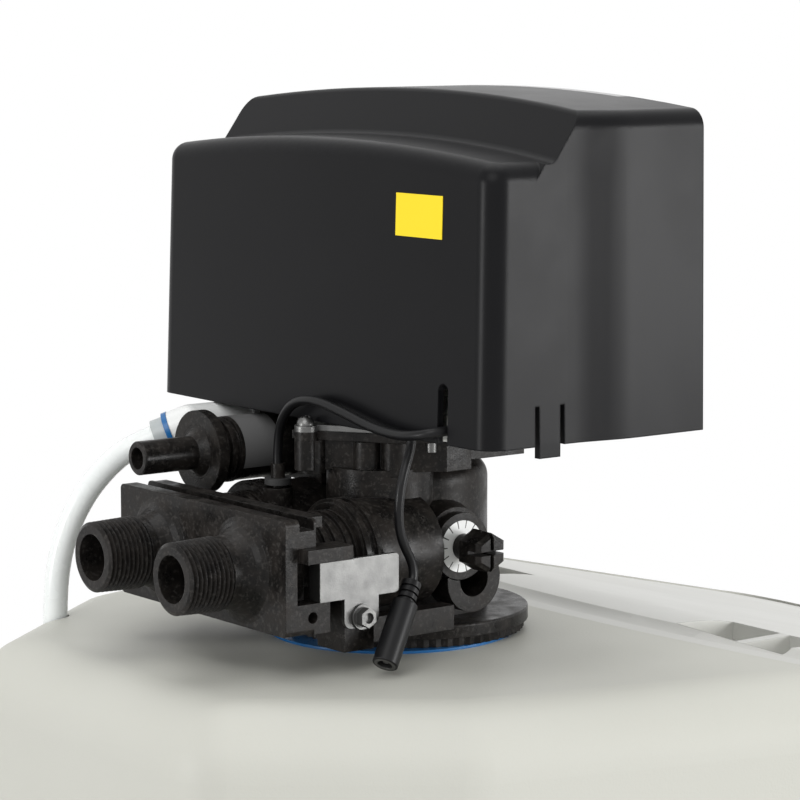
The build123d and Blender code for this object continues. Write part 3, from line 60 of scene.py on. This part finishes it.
def makeCamera(look):
    turn, tilt = math.radians(look["turn"]), math.radians(look["tilt"])
    way = Vector((math.sin(turn) * math.cos(tilt), -math.cos(turn) * math.cos(tilt), -math.sin(tilt)))
    camera = bpy.data.objects.new("camera", bpy.data.cameras.new("camera"))
    scene.collection.objects.link(camera)
    camera.location = look["place"]
    camera.rotation_mode = "QUATERNION"
    camera.rotation_quaternion = way.to_track_quat("-Z", "Y")
    camera.data.lens = look["lens"]
    camera.data.sensor_width = look["sensor"]
    camera.data.clip_start = look["near"]
    scene.camera = camera


makeCamera(cameraSet)
print("camera set")


class Value:
    # one output of a node, so that what varies over a surface is written as a sum
    def __init__(self, paint, socket):
        self.paint, self.socket = paint, socket

    def maths(self, operation, *others):
        return self.paint.maths(operation, self, *others)

    def __add__(self, other):
        return self.maths("ADD", other)

    def __sub__(self, other):
        return self.maths("SUBTRACT", other)

    def __rsub__(self, other):
        return self.paint.maths("SUBTRACT", other, self)

    def __mul__(self, other):
        return self.maths("MULTIPLY", other)

    __radd__ = __add__
    __rmul__ = __mul__


edgeSamples = 4


class Paint:
    # a material or world and its nodes
    def __init__(self, block):
        block.use_nodes = True
        self.block, self.tree = block, block.node_tree
        self.tree.nodes.clear()

    def add(self, kind, settings=None, values=None, output=0):
        node = self.tree.nodes.new(kind)
        for name, setting in (settings or {}).items():
            setattr(node, name, setting)
        for name, value in (values or {}).items():
            if isinstance(value, Value):
                self.tree.links.new(value.socket, node.inputs[name])
            else:
                node.inputs[name].default_value = value
        return Value(self, node.outputs[output])

    def maths(self, operation, *values):
        return self.add("ShaderNodeMath", {"operation": operation}, dict(enumerate(values)))

    def place(self):
        return self.add("ShaderNodeTexCoord", output="Object")

    def noise(self, place, size, detail=2.0, ragged=0.5):
        values = {"Vector": place, "Scale": 1 / size, "Detail": detail, "Roughness": ragged}
        return self.add("ShaderNodeTexNoise", {}, values)

    def ramp(self, value, low, high):
        settings = {"interpolation_type": "SMOOTHSTEP"}
        values = {"Value": value, "From Min": low, "From Max": high, "To Min": 0.0, "To Max": 1.0}
        return self.add("ShaderNodeMapRange", settings, values)

    def blend(self, factor, first, second):
        values = {0: factor, 6: first, 7: second}
        return self.add("ShaderNodeMix", {"data_type": "RGBA"}, values, output=2)

    def parts(self, place):
        split = self.add("ShaderNodeSeparateXYZ", {}, {0: place})
        return [Value(self, socket) for socket in split.socket.node.outputs]

    def relief(self, height, edge=0):
        # bump from a height in metres, and rounded edges where edge is their radius
        values = {"Strength": 1.0, "Distance": 1.0, "Height": height}
        if edge:
            values["Normal"] = self.add("ShaderNodeBevel", {"samples": edgeSamples}, {"Radius": edge})
        return self.add("ShaderNodeBump", {}, values)

    def finish(self, **values):
        sockets = {name.replace("_", " "): value for name, value in values.items()}
        self.end(self.add("ShaderNodeBsdfPrincipled", {}, sockets))
        return self.block

    def end(self, shader, kind="ShaderNodeOutputMaterial"):
        node = self.tree.nodes.new(kind)
        self.tree.links.new(shader.socket, node.inputs["Surface"])


def newPaint(name):
    return Paint(bpy.data.materials.new(name))


def solid(color):
    return (*color, 1.0)


# every moulded finish: colour, its cloudy second colour and flecks, then grain and gloss. Sizes in metres
plainMould = {"cloudDim": 0.8, "cloudSize": 0.03, "cloudDetail": 4.0, "cloudRagged": 0.6,
              "cloudRange": (0.35, 0.7), "cloudShare": 0.25, "fleckDetail": 3.0, "fleckRagged": 0.7,
              "fleckSoft": 0.15, "fleckShare": 0.0, "grainSize": 0.0005, "grainDepth": 0.00001,
              "waveDetail": 1.0, "waveDepth": 0.0, "rough": 0.45, "roughSpread": 0.08, "edge": 0.0004,
              "index": 1.5, "specular": 0.5, "soft": 0.0, "softReach": (0.004, 0.004, 0.004)}


# share of the painted sheen strip: inside its front, side and bottom limits, softened at each
def paintedSheenShare(paint, place, look):
    x, y, z = paint.parts(place)
    soft = look["soft"]
    front = paint.ramp(y, look["front"], look["front"] - soft)
    fromRight = paint.ramp(x, look["right"] - soft, look["right"])
    fromLeft = paint.ramp(x, look["left"], look["left"] - soft)
    return front * (fromRight * fromLeft) * paint.ramp(z, look["bottom"], look["bottom"] + soft)


def mouldedFinish(name, look):
    look = {**plainMould, **look}
    cloudColor = look.get("cloud", tuple(part * look["cloudDim"] for part in look["color"]))
    paint = newPaint(name)
    place = paint.place()
    cloud = paint.noise(place, look["cloudSize"], look["cloudDetail"], look["cloudRagged"])
    cloud = paint.ramp(cloud, *look["cloudRange"])
    color = paint.blend(cloud * look["cloudShare"], solid(look["color"]), solid(cloudColor))
    if look["fleckShare"]:
        fleck = paint.noise(place, look["fleckSize"], look["fleckDetail"], look["fleckRagged"])
        fleck = paint.ramp(fleck, look["fleckLow"] - look["fleckSoft"], look["fleckLow"])
        color = paint.blend(fleck * look["fleckShare"], color, solid(look["fleck"]))
    # a painted sheen: where the look has one, a light strip of painted reflection is mixed into the colour
    if "paintedSheen" in look:
        color = paint.blend(paintedSheenShare(paint, place, look["paintedSheen"]), color, solid(look["paintedSheen"]["color"]))
    grain = paint.noise(place, look["grainSize"])
    height = grain * look["grainDepth"]
    if look["waveDepth"]:
        height = height + paint.noise(place, look["waveSize"], look["waveDetail"]) * look["waveDepth"]
    rough = (cloud - 0.5) * look["roughSpread"] + (grain - 0.5) * look["roughSpread"] + look["rough"]
    return paint.finish(Base_Color=color, Roughness=rough, Normal=paint.relief(height, look["edge"]),
                        IOR=look["index"], Specular_IOR_Level=look["specular"],
                        Subsurface_Weight=look["soft"], Subsurface_Radius=look["softReach"])


# a painted sheen: a light strip painted along the front edge of the cover's roof, standing in for the roof's
# glossy reflection of the white room, in metres of the row
paintedSheenSet = {"color": (0.42, 0.42, 0.42), "front": -0.046, "left": 0.02, "right": -0.064,
           "bottom": valvePlace(0, 0, 184.0).z, "soft": 0.0012}

mouldedLooks = {
    "cabinet_plastic": {"color": (0.5, 0.5, 0.455), "cloud": (0.47, 0.47, 0.425), "cloudSize": 0.2,
                        "cloudShare": 0.5, "grainSize": 0.0009, "grainDepth": 0.00007, "waveSize": 0.06,
                        "waveDepth": 0.0002, "rough": 0.52, "edge": 0.001, "specular": 0.35},
    "lid_plastic": {"color": (0.53, 0.53, 0.5), "cloudSize": 0.15, "cloudShare": 0.2, "grainSize": 0.0009,
                    "grainDepth": 0.00004, "rough": 0.36, "edge": 0.0008, "specular": 0.4},
    "pin_plastic": {"color": (0.72, 0.72, 0.68), "rough": 0.4, "cloudShare": 0.1},
    "boot_rubber": {"color": (0.02, 0.02, 0.02), "rough": 0.65, "grainDepth": 0.00003},
    "white_plastic": {"color": (0.8, 0.81, 0.8), "rough": 0.28, "cloudShare": 0.08, "soft": 0.15},
    "seal_rubber": {"color": (0.015, 0.015, 0.015), "rough": 0.55},
    "blue_plastic": {"color": (0.01, 0.12, 0.33), "rough": 0.3, "cloudShare": 0.1},
    "valve_plastic": {"color": (0.006, 0.0055, 0.0052), "cloud": (0.021, 0.0175, 0.015), "cloudSize": 0.009,
                      "cloudShare": 0.6, "fleck": (0.07, 0.065, 0.06), "fleckSize": 0.0016, "fleckLow": 0.66,
                      "fleckShare": 0.35, "grainSize": 0.0007, "grainDepth": 0.00004, "waveSize": 0.004,
                      "waveDepth": 0.00006, "rough": 0.38, "roughSpread": 0.2, "specular": 0.14},
    "label_grey": {"color": (0.13, 0.13, 0.13), "rough": 0.35, "cloudShare": 0.1, "edge": 0, "specular": 0.3},
    "grey_plastic": {"color": (0.42, 0.45, 0.45), "rough": 0.3, "soft": 0.1},
    "lead_plastic": {"color": (0.006, 0.006, 0.0065), "rough": 0.36, "grainDepth": 0.000006, "edge": 0,
                     "specular": 0.2},
    "cover_plastic": {"color": (0.0055, 0.0055, 0.0062), "cloud": (0.007, 0.007, 0.0076), "cloudSize": 0.05,
                      "cloudShare": 0.4, "grainSize": 0.00045, "grainDepth": 0.000016, "rough": 0.33,
                      "roughSpread": 0.05, "edge": 0.0008, "specular": 0.09, "paintedSheen": paintedSheenSet},
    "label_yellow": {"color": (0.86, 0.65, 0.03), "rough": 0.4, "cloudShare": 0.06, "edge": 0,
                     "specular": 0.1},
    "button_grey": {"color": (0.2, 0.21, 0.22), "rough": 0.4},
}


def dialFinish(name, look):
    # white, with short dark ticks round the rim of the dial's face
    paint = newPaint(name)
    place = paint.place()
    across, rise = [part - centre for part, centre in zip(paint.parts(place)[1:], look["centre"][1:])]
    around = rise.maths("ARCTAN2", across) * look["ticks"]
    reach = (across * across + rise * rise).maths("SQRT")
    ring = paint.ramp(reach, look["inner"], look["inner"] + look["soft"])
    tick = paint.ramp(around.maths("COSINE"), look["width"], look["width"] + look["tickSoft"]) * ring
    shade = paint.noise(place, look["cloudSize"]) * look["cloudShare"]
    color = paint.blend(shade, solid(look["color"]), solid(look["cloud"]))
    color = paint.blend(tick, color, solid(look["tick"]))
    return paint.finish(Base_Color=color, Roughness=shade + look["rough"])


dialSet = {"centre": valvePlace(0, 6, 28), "ticks": 14.0, "inner": 0.0066, "soft": 0.0003, "width": 0.9,
           "tickSoft": 0.05, "color": (0.8, 0.81, 0.8), "cloud": (0.6, 0.6, 0.58), "tick": (0.03, 0.03, 0.03),
           "cloudSize": 0.004, "cloudShare": 0.12, "rough": 0.3}


def metalFinish(name, look):
    # bead-blasted or turned metal: fine pits, cloudy gloss
    paint = newPaint(name)
    place = paint.place()
    cloud = paint.noise(place, look["cloudSize"], look["cloudDetail"], look["cloudRagged"])
    pits = paint.noise(place, look["pitSize"])
    color = paint.blend(cloud, solid(look["color"]), solid(look["dark"]))
    rough = (cloud - 0.5) * look["roughSpread"] + look["rough"]
    return paint.finish(Base_Color=color, Metallic=1.0, Roughness=rough,
                        Normal=paint.relief(pits * look["pitDepth"], look["edge"]))


steelLook = {"color": (0.17, 0.17, 0.165), "dark": (0.1, 0.1, 0.1), "cloudSize": 0.005, "cloudDetail": 4.0,
             "cloudRagged": 0.6, "pitSize": 0.0006, "pitDepth": 0.00003, "rough": 0.4, "roughSpread": 0.2,
             "edge": 0.0003}


def glassFinish(name, look):
    paint = newPaint(name)
    shade = paint.noise(paint.place(), look["cloudSize"]) * look["cloudShare"]
    color = paint.blend(shade, solid(look["color"]), solid(look["cloud"]))
    return paint.finish(Base_Color=color, Roughness=look["rough"], Coat_Weight=look["coat"])


glassLook = {"color": (0.02, 0.035, 0.03), "cloud": (0.04, 0.06, 0.05), "cloudSize": 0.01, "cloudShare": 0.3,
             "rough": 0.08, "coat": 0.5}


def woundFinish(name, look):
    # a wound fibre shell: two crossing sets of bands
    paint = newPaint(name)
    x, y, z = paint.parts(paint.place())
    around = y.maths("ARCTAN2", x) * look["bands"]
    rising, falling = [(around + z * slant).maths("SINE") for slant in (look["slant"], -look["slant"])]
    height = rising.maths("MAXIMUM", falling)
    color = paint.blend(height * 0.5 + 0.5, solid(look["color"]), solid(look["light"]))
    return paint.finish(Base_Color=color, Roughness=look["rough"],
                        Normal=paint.relief(height * look["depth"]))


woundLook = {"color": (0.02, 0.035, 0.07), "light": (0.04, 0.07, 0.13), "bands": 24.0, "slant": 300.0,
             "depth": 0.0003, "rough": 0.35}


def beadFinish(name, look):
    # a packed bed of round beads
    paint = newPaint(name)
    beads = paint.add("ShaderNodeTexVoronoi", {}, {"Vector": paint.place(), "Scale": 1 / look["size"]})
    color = paint.blend(beads, solid(look["light"]), solid(look["dark"]))
    return paint.finish(Base_Color=color, Roughness=look["rough"],
                        Normal=paint.relief(beads * -look["depth"]))


beadLook = {"size": 0.0012, "light": (0.5, 0.22, 0.05), "dark": (0.12, 0.05, 0.01), "depth": 0.0005,
            "rough": 0.3}


def boardFinish(name, look):
    # coated board with fine tracks
    paint = newPaint(name)
    x, y, z = paint.parts(paint.place())
    line = (x * look["acrossWaves"]).maths("SINE") * (z * look["upWaves"]).maths("SINE")
    tracks = paint.ramp(line, *look["trackRange"])
    color = paint.blend(tracks, solid(look["color"]), solid(look["track"]))
    return paint.finish(Base_Color=color, Roughness=look["rough"],
                        Normal=paint.relief(tracks * look["depth"]))


boardLook = {"color": (0.006, 0.07, 0.025), "track": (0.02, 0.16, 0.06), "acrossWaves": 2100.0,
             "upWaves": 900.0, "trackRange": (0.55, 0.6), "depth": 0.00005, "rough": 0.3}


def tubeFinish(name, look):
    # milky tube, a little clearer where it is thin
    paint = newPaint(name)
    cloud = paint.noise(paint.place(), look["cloudSize"], look["cloudDetail"])
    color = paint.blend(cloud * look["cloudShare"], solid(look["color"]), solid(look["cloud"]))
    return paint.finish(Base_Color=color, Roughness=cloud * look["roughSpread"] + look["rough"],
                        Subsurface_Weight=look["soft"], Subsurface_Radius=look["softReach"],
                        Coat_Weight=look["coat"], Normal=paint.relief(cloud * look["depth"]))


tubeLook = {"color": (0.82, 0.84, 0.83), "cloud": (0.7, 0.73, 0.72), "cloudSize": 0.006, "cloudDetail": 3.0,
            "cloudShare": 0.4, "rough": 0.22, "roughSpread": 0.1, "soft": 0.5,
            "softReach": (0.006, 0.006, 0.006), "coat": 0.15, "depth": 0.00003}

finishes = {slot: mouldedFinish(slot, look) for slot, look in mouldedLooks.items()}
finishes["steel"] = metalFinish("steel", steelLook)
finishes["glass"] = glassFinish("glass", glassLook)
finishes["tank_fibre"] = woundFinish("tank_fibre", woundLook)
finishes["resin_beads"] = beadFinish("resin_beads", beadLook)
finishes["board_green"] = boardFinish("board_green", boardLook)
finishes["tube_plastic"] = tubeFinish("tube_plastic", tubeLook)
print("finishes made:", len(finishes))

slotOf = {entry["node"]: entry["material_slot"] for entry in frame["record"]["subparts"]}
for name, node in nodes.items():
    node.data.materials.clear()
    node.data.materials.append(finishes[slotOf[name]])
nodes["blending_dial"].data.materials[0] = dialFinish("dial_face", dialSet)
print("nodes finished:", len(slotOf))

cordShape = {"order": 3, "steps": 10, "sides": 6}


def cordPiece(name, points, diameter, slot, replaced):
    # one open smooth spline through the route's corners, with a round section
    curve = bpy.data.curves.new(name, "CURVE")
    curve.dimensions = "3D"
    spline = curve.splines.new("NURBS")
    spline.points.add(len(points) - 1)
    for point, place in zip(spline.points, points):
        point.co = (*place, 1.0)
    spline.order_u = cordShape["order"]
    spline.use_endpoint_u = True
    spline.resolution_u = cordShape["steps"]
    curve.bevel_depth = diameter / 2
    curve.bevel_resolution = cordShape["sides"]
    curve.use_fill_caps = True
    piece = bpy.data.objects.new(name, curve)
    scene.collection.objects.link(piece)
    curve.materials.append(finishes[slot])
    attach(piece, "cabinet")
    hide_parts(replaced)
    return piece


# each cord follows the route that its solid has, given here as points in mm from the flange rim
elbowSet = {"corner": valvePlace(65.0, 55.2, 66.0), "way": Vector((0.58, 0.73, -0.36)).normalized()}
tubeSet = {"diameter": 0.00942, "length": 0.515, "start": 0.0036, "straight": 0.0232,
           "route": [(85.3, 80.2, 49.3), (91.2, 87.3, 37.6), (95.7, 92.5, 23.5), (98.3, 95.2, 8.5),
                     (99.0, 96.0, -9.0), (100.0, 95.5, -26.0), (103.0, 91.0, -45.0), (110.0, 79.5, -63.0),
                     (121.0, 60.0, -77.0), (133.0, 33.0, -86.0), (142.0, -2.0, -90.0), (146.0, -40.0, -90.0),
                     (145.0, -80.0, -90.0), (141.0, -114.0, -90.5), (133.5, -146.0, -94.0),
                     (122.0, -177.0, -103.0), (112.5, -201.0, -121.0), (108.0, -212.0, -145.4),
                     (108.0, -212.0, -175.4)]}
tubePoints = [elbowSet["corner"] + elbowSet["way"] * tubeSet[reach] for reach in ("start", "straight")]
tubePoints += [valvePlace(*place) for place in tubeSet["route"]]
brineTube = cordPiece("brineTube", tubePoints, tubeSet["diameter"], "tube_plastic", "brine_tube")
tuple(tubePoints[0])
sensorSet = {"diameter": 0.0036, "length": 0.1193,
             "route": [(-78.0, 38.0, 78.2), (-78.0, 46.6, 78.2), (-71.6, 51.0, 76.4), (-60.0, 51.2, 75.2),
                       (-44.0, 50.6, 76.4), (-27.0, 50.4, 79.9), (-10.0, 50.4, 82.6), (3.0, 50.4, 80.6),
                       (11.0, 50.2, 73.6), (14.7, 49.5, 64.6), (14.7, 49.5, 56.2)]}
sensorPoints = [valvePlace(*place) for place in sensorSet["route"]]
sensorLead = cordPiece("sensorLead", sensorPoints, sensorSet["diameter"], "lead_plastic", "sensor_lead")
jackSet = {"end": valvePlace(-64.8, 59.8, -4.7), "way": Vector((0.293, -0.582, 0.758)).normalized(),
           "reach": 0.0335, "bendReach": 0.0055, "diameter": 0.0034, "length": 0.0571,
           "route": [(-53.3, 39.2, 73.2), (-53.3, 39.2, 69.5), (-55.0, 43.8, 61.5), (-55.2, 46.4, 51.0),
                     (-55.0, 46.0, 38.0)]}
jackPoints = [valvePlace(*place) for place in jackSet["route"]]
jackPoints += [jackSet["end"] + jackSet["way"] * reach
               for reach in (jackSet["reach"] + jackSet["bendReach"], jackSet["reach"])]
jackLead = cordPiece("jackLead", jackPoints, jackSet["diameter"], "lead_plastic", "jack_lead")
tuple(jackPoints[0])
print("cords laid")

# a round floor that fades to white at its rim, a plain world and four round lamps aimed at the valve's foot
roomSet = {"floorReach": 2.5, "floorColor": (0.86, 0.86, 0.86), "floorSides": 96, "fadeFrom": 1.0,
           "fadeShare": 0.95, "white": (1, 1, 1), "worldLevel": 0.5, "aim": Vector((0, 0, 0.85)),
           "lamps": [("keyLamp", (-1.3, 1.9, 2.7), 2.2, 34.0), ("sideLamp", (-2.3, -1.7, 1.15), 1.3, 60.0),
                     ("topLamp", (0.3, -0.2, 3.2), 2.4, 26.0), ("edgeLamp", (0.45, 2.6, 1.0), 0.5, 22.0)]}


def makeWorld(look):
    # white where it is seen straight on or in a reflection, dimmer where it lights the row
    world = Paint(bpy.data.worlds.new("studio"))
    scene.world = world.block
    camera, glossy, clear = [world.add("ShaderNodeLightPath", output=name) for name in
                             ("Is Camera Ray", "Is Glossy Ray", "Is Transmission Ray")]
    seen = camera.maths("MAXIMUM", glossy.maths("MAXIMUM", clear))
    dim, white = [world.add("ShaderNodeBackground", {}, {"Color": solid(look["white"]), "Strength": level})
                  for level in (look["worldLevel"], 1.0)]
    world.end(world.add("ShaderNodeMixShader", {}, {0: seen, 1: dim, 2: white}), "ShaderNodeOutputWorld")


def makeFloor(look):
    paint = newPaint("floorPaint")
    reach = paint.add("ShaderNodeVectorMath", {"operation": "LENGTH"}, {0: paint.place()}, output="Value")
    fade = paint.ramp(reach, look["fadeFrom"], look["floorReach"] * look["fadeShare"])
    cloth = paint.add("ShaderNodeBsdfDiffuse", {}, {"Color": solid(look["floorColor"])})
    glow = paint.add("ShaderNodeEmission", {}, {"Color": solid(look["white"]), "Strength": 1.0})
    paint.end(paint.add("ShaderNodeMixShader", {}, {0: fade, 1: cloth, 2: glow}))
    mesh = bpy.data.meshes.new("floor")
    shape = bmesh.new()
    bmesh.ops.create_circle(shape, cap_ends=True, segments=look["floorSides"], radius=look["floorReach"])
    shape.to_mesh(mesh)
    shape.free()
    mesh.materials.append(paint.block)
    floor = bpy.data.objects.new("floor", mesh)
    scene.collection.objects.link(floor)


def makeLamps(look):
    for name, place, size, power in look["lamps"]:
        lamp = bpy.data.lights.new(name, "AREA")
        lamp.shape, lamp.size, lamp.energy = "DISK", size, power
        holder = bpy.data.objects.new(name, lamp)
        scene.collection.objects.link(holder)
        holder.location = place
        holder.rotation_mode = "QUATERNION"
        holder.rotation_quaternion = (look["aim"] - Vector(place)).to_track_quat("-Z", "Y")


makeWorld(roomSet)
makeFloor(roomSet)
makeLamps(roomSet)
print("room lit")
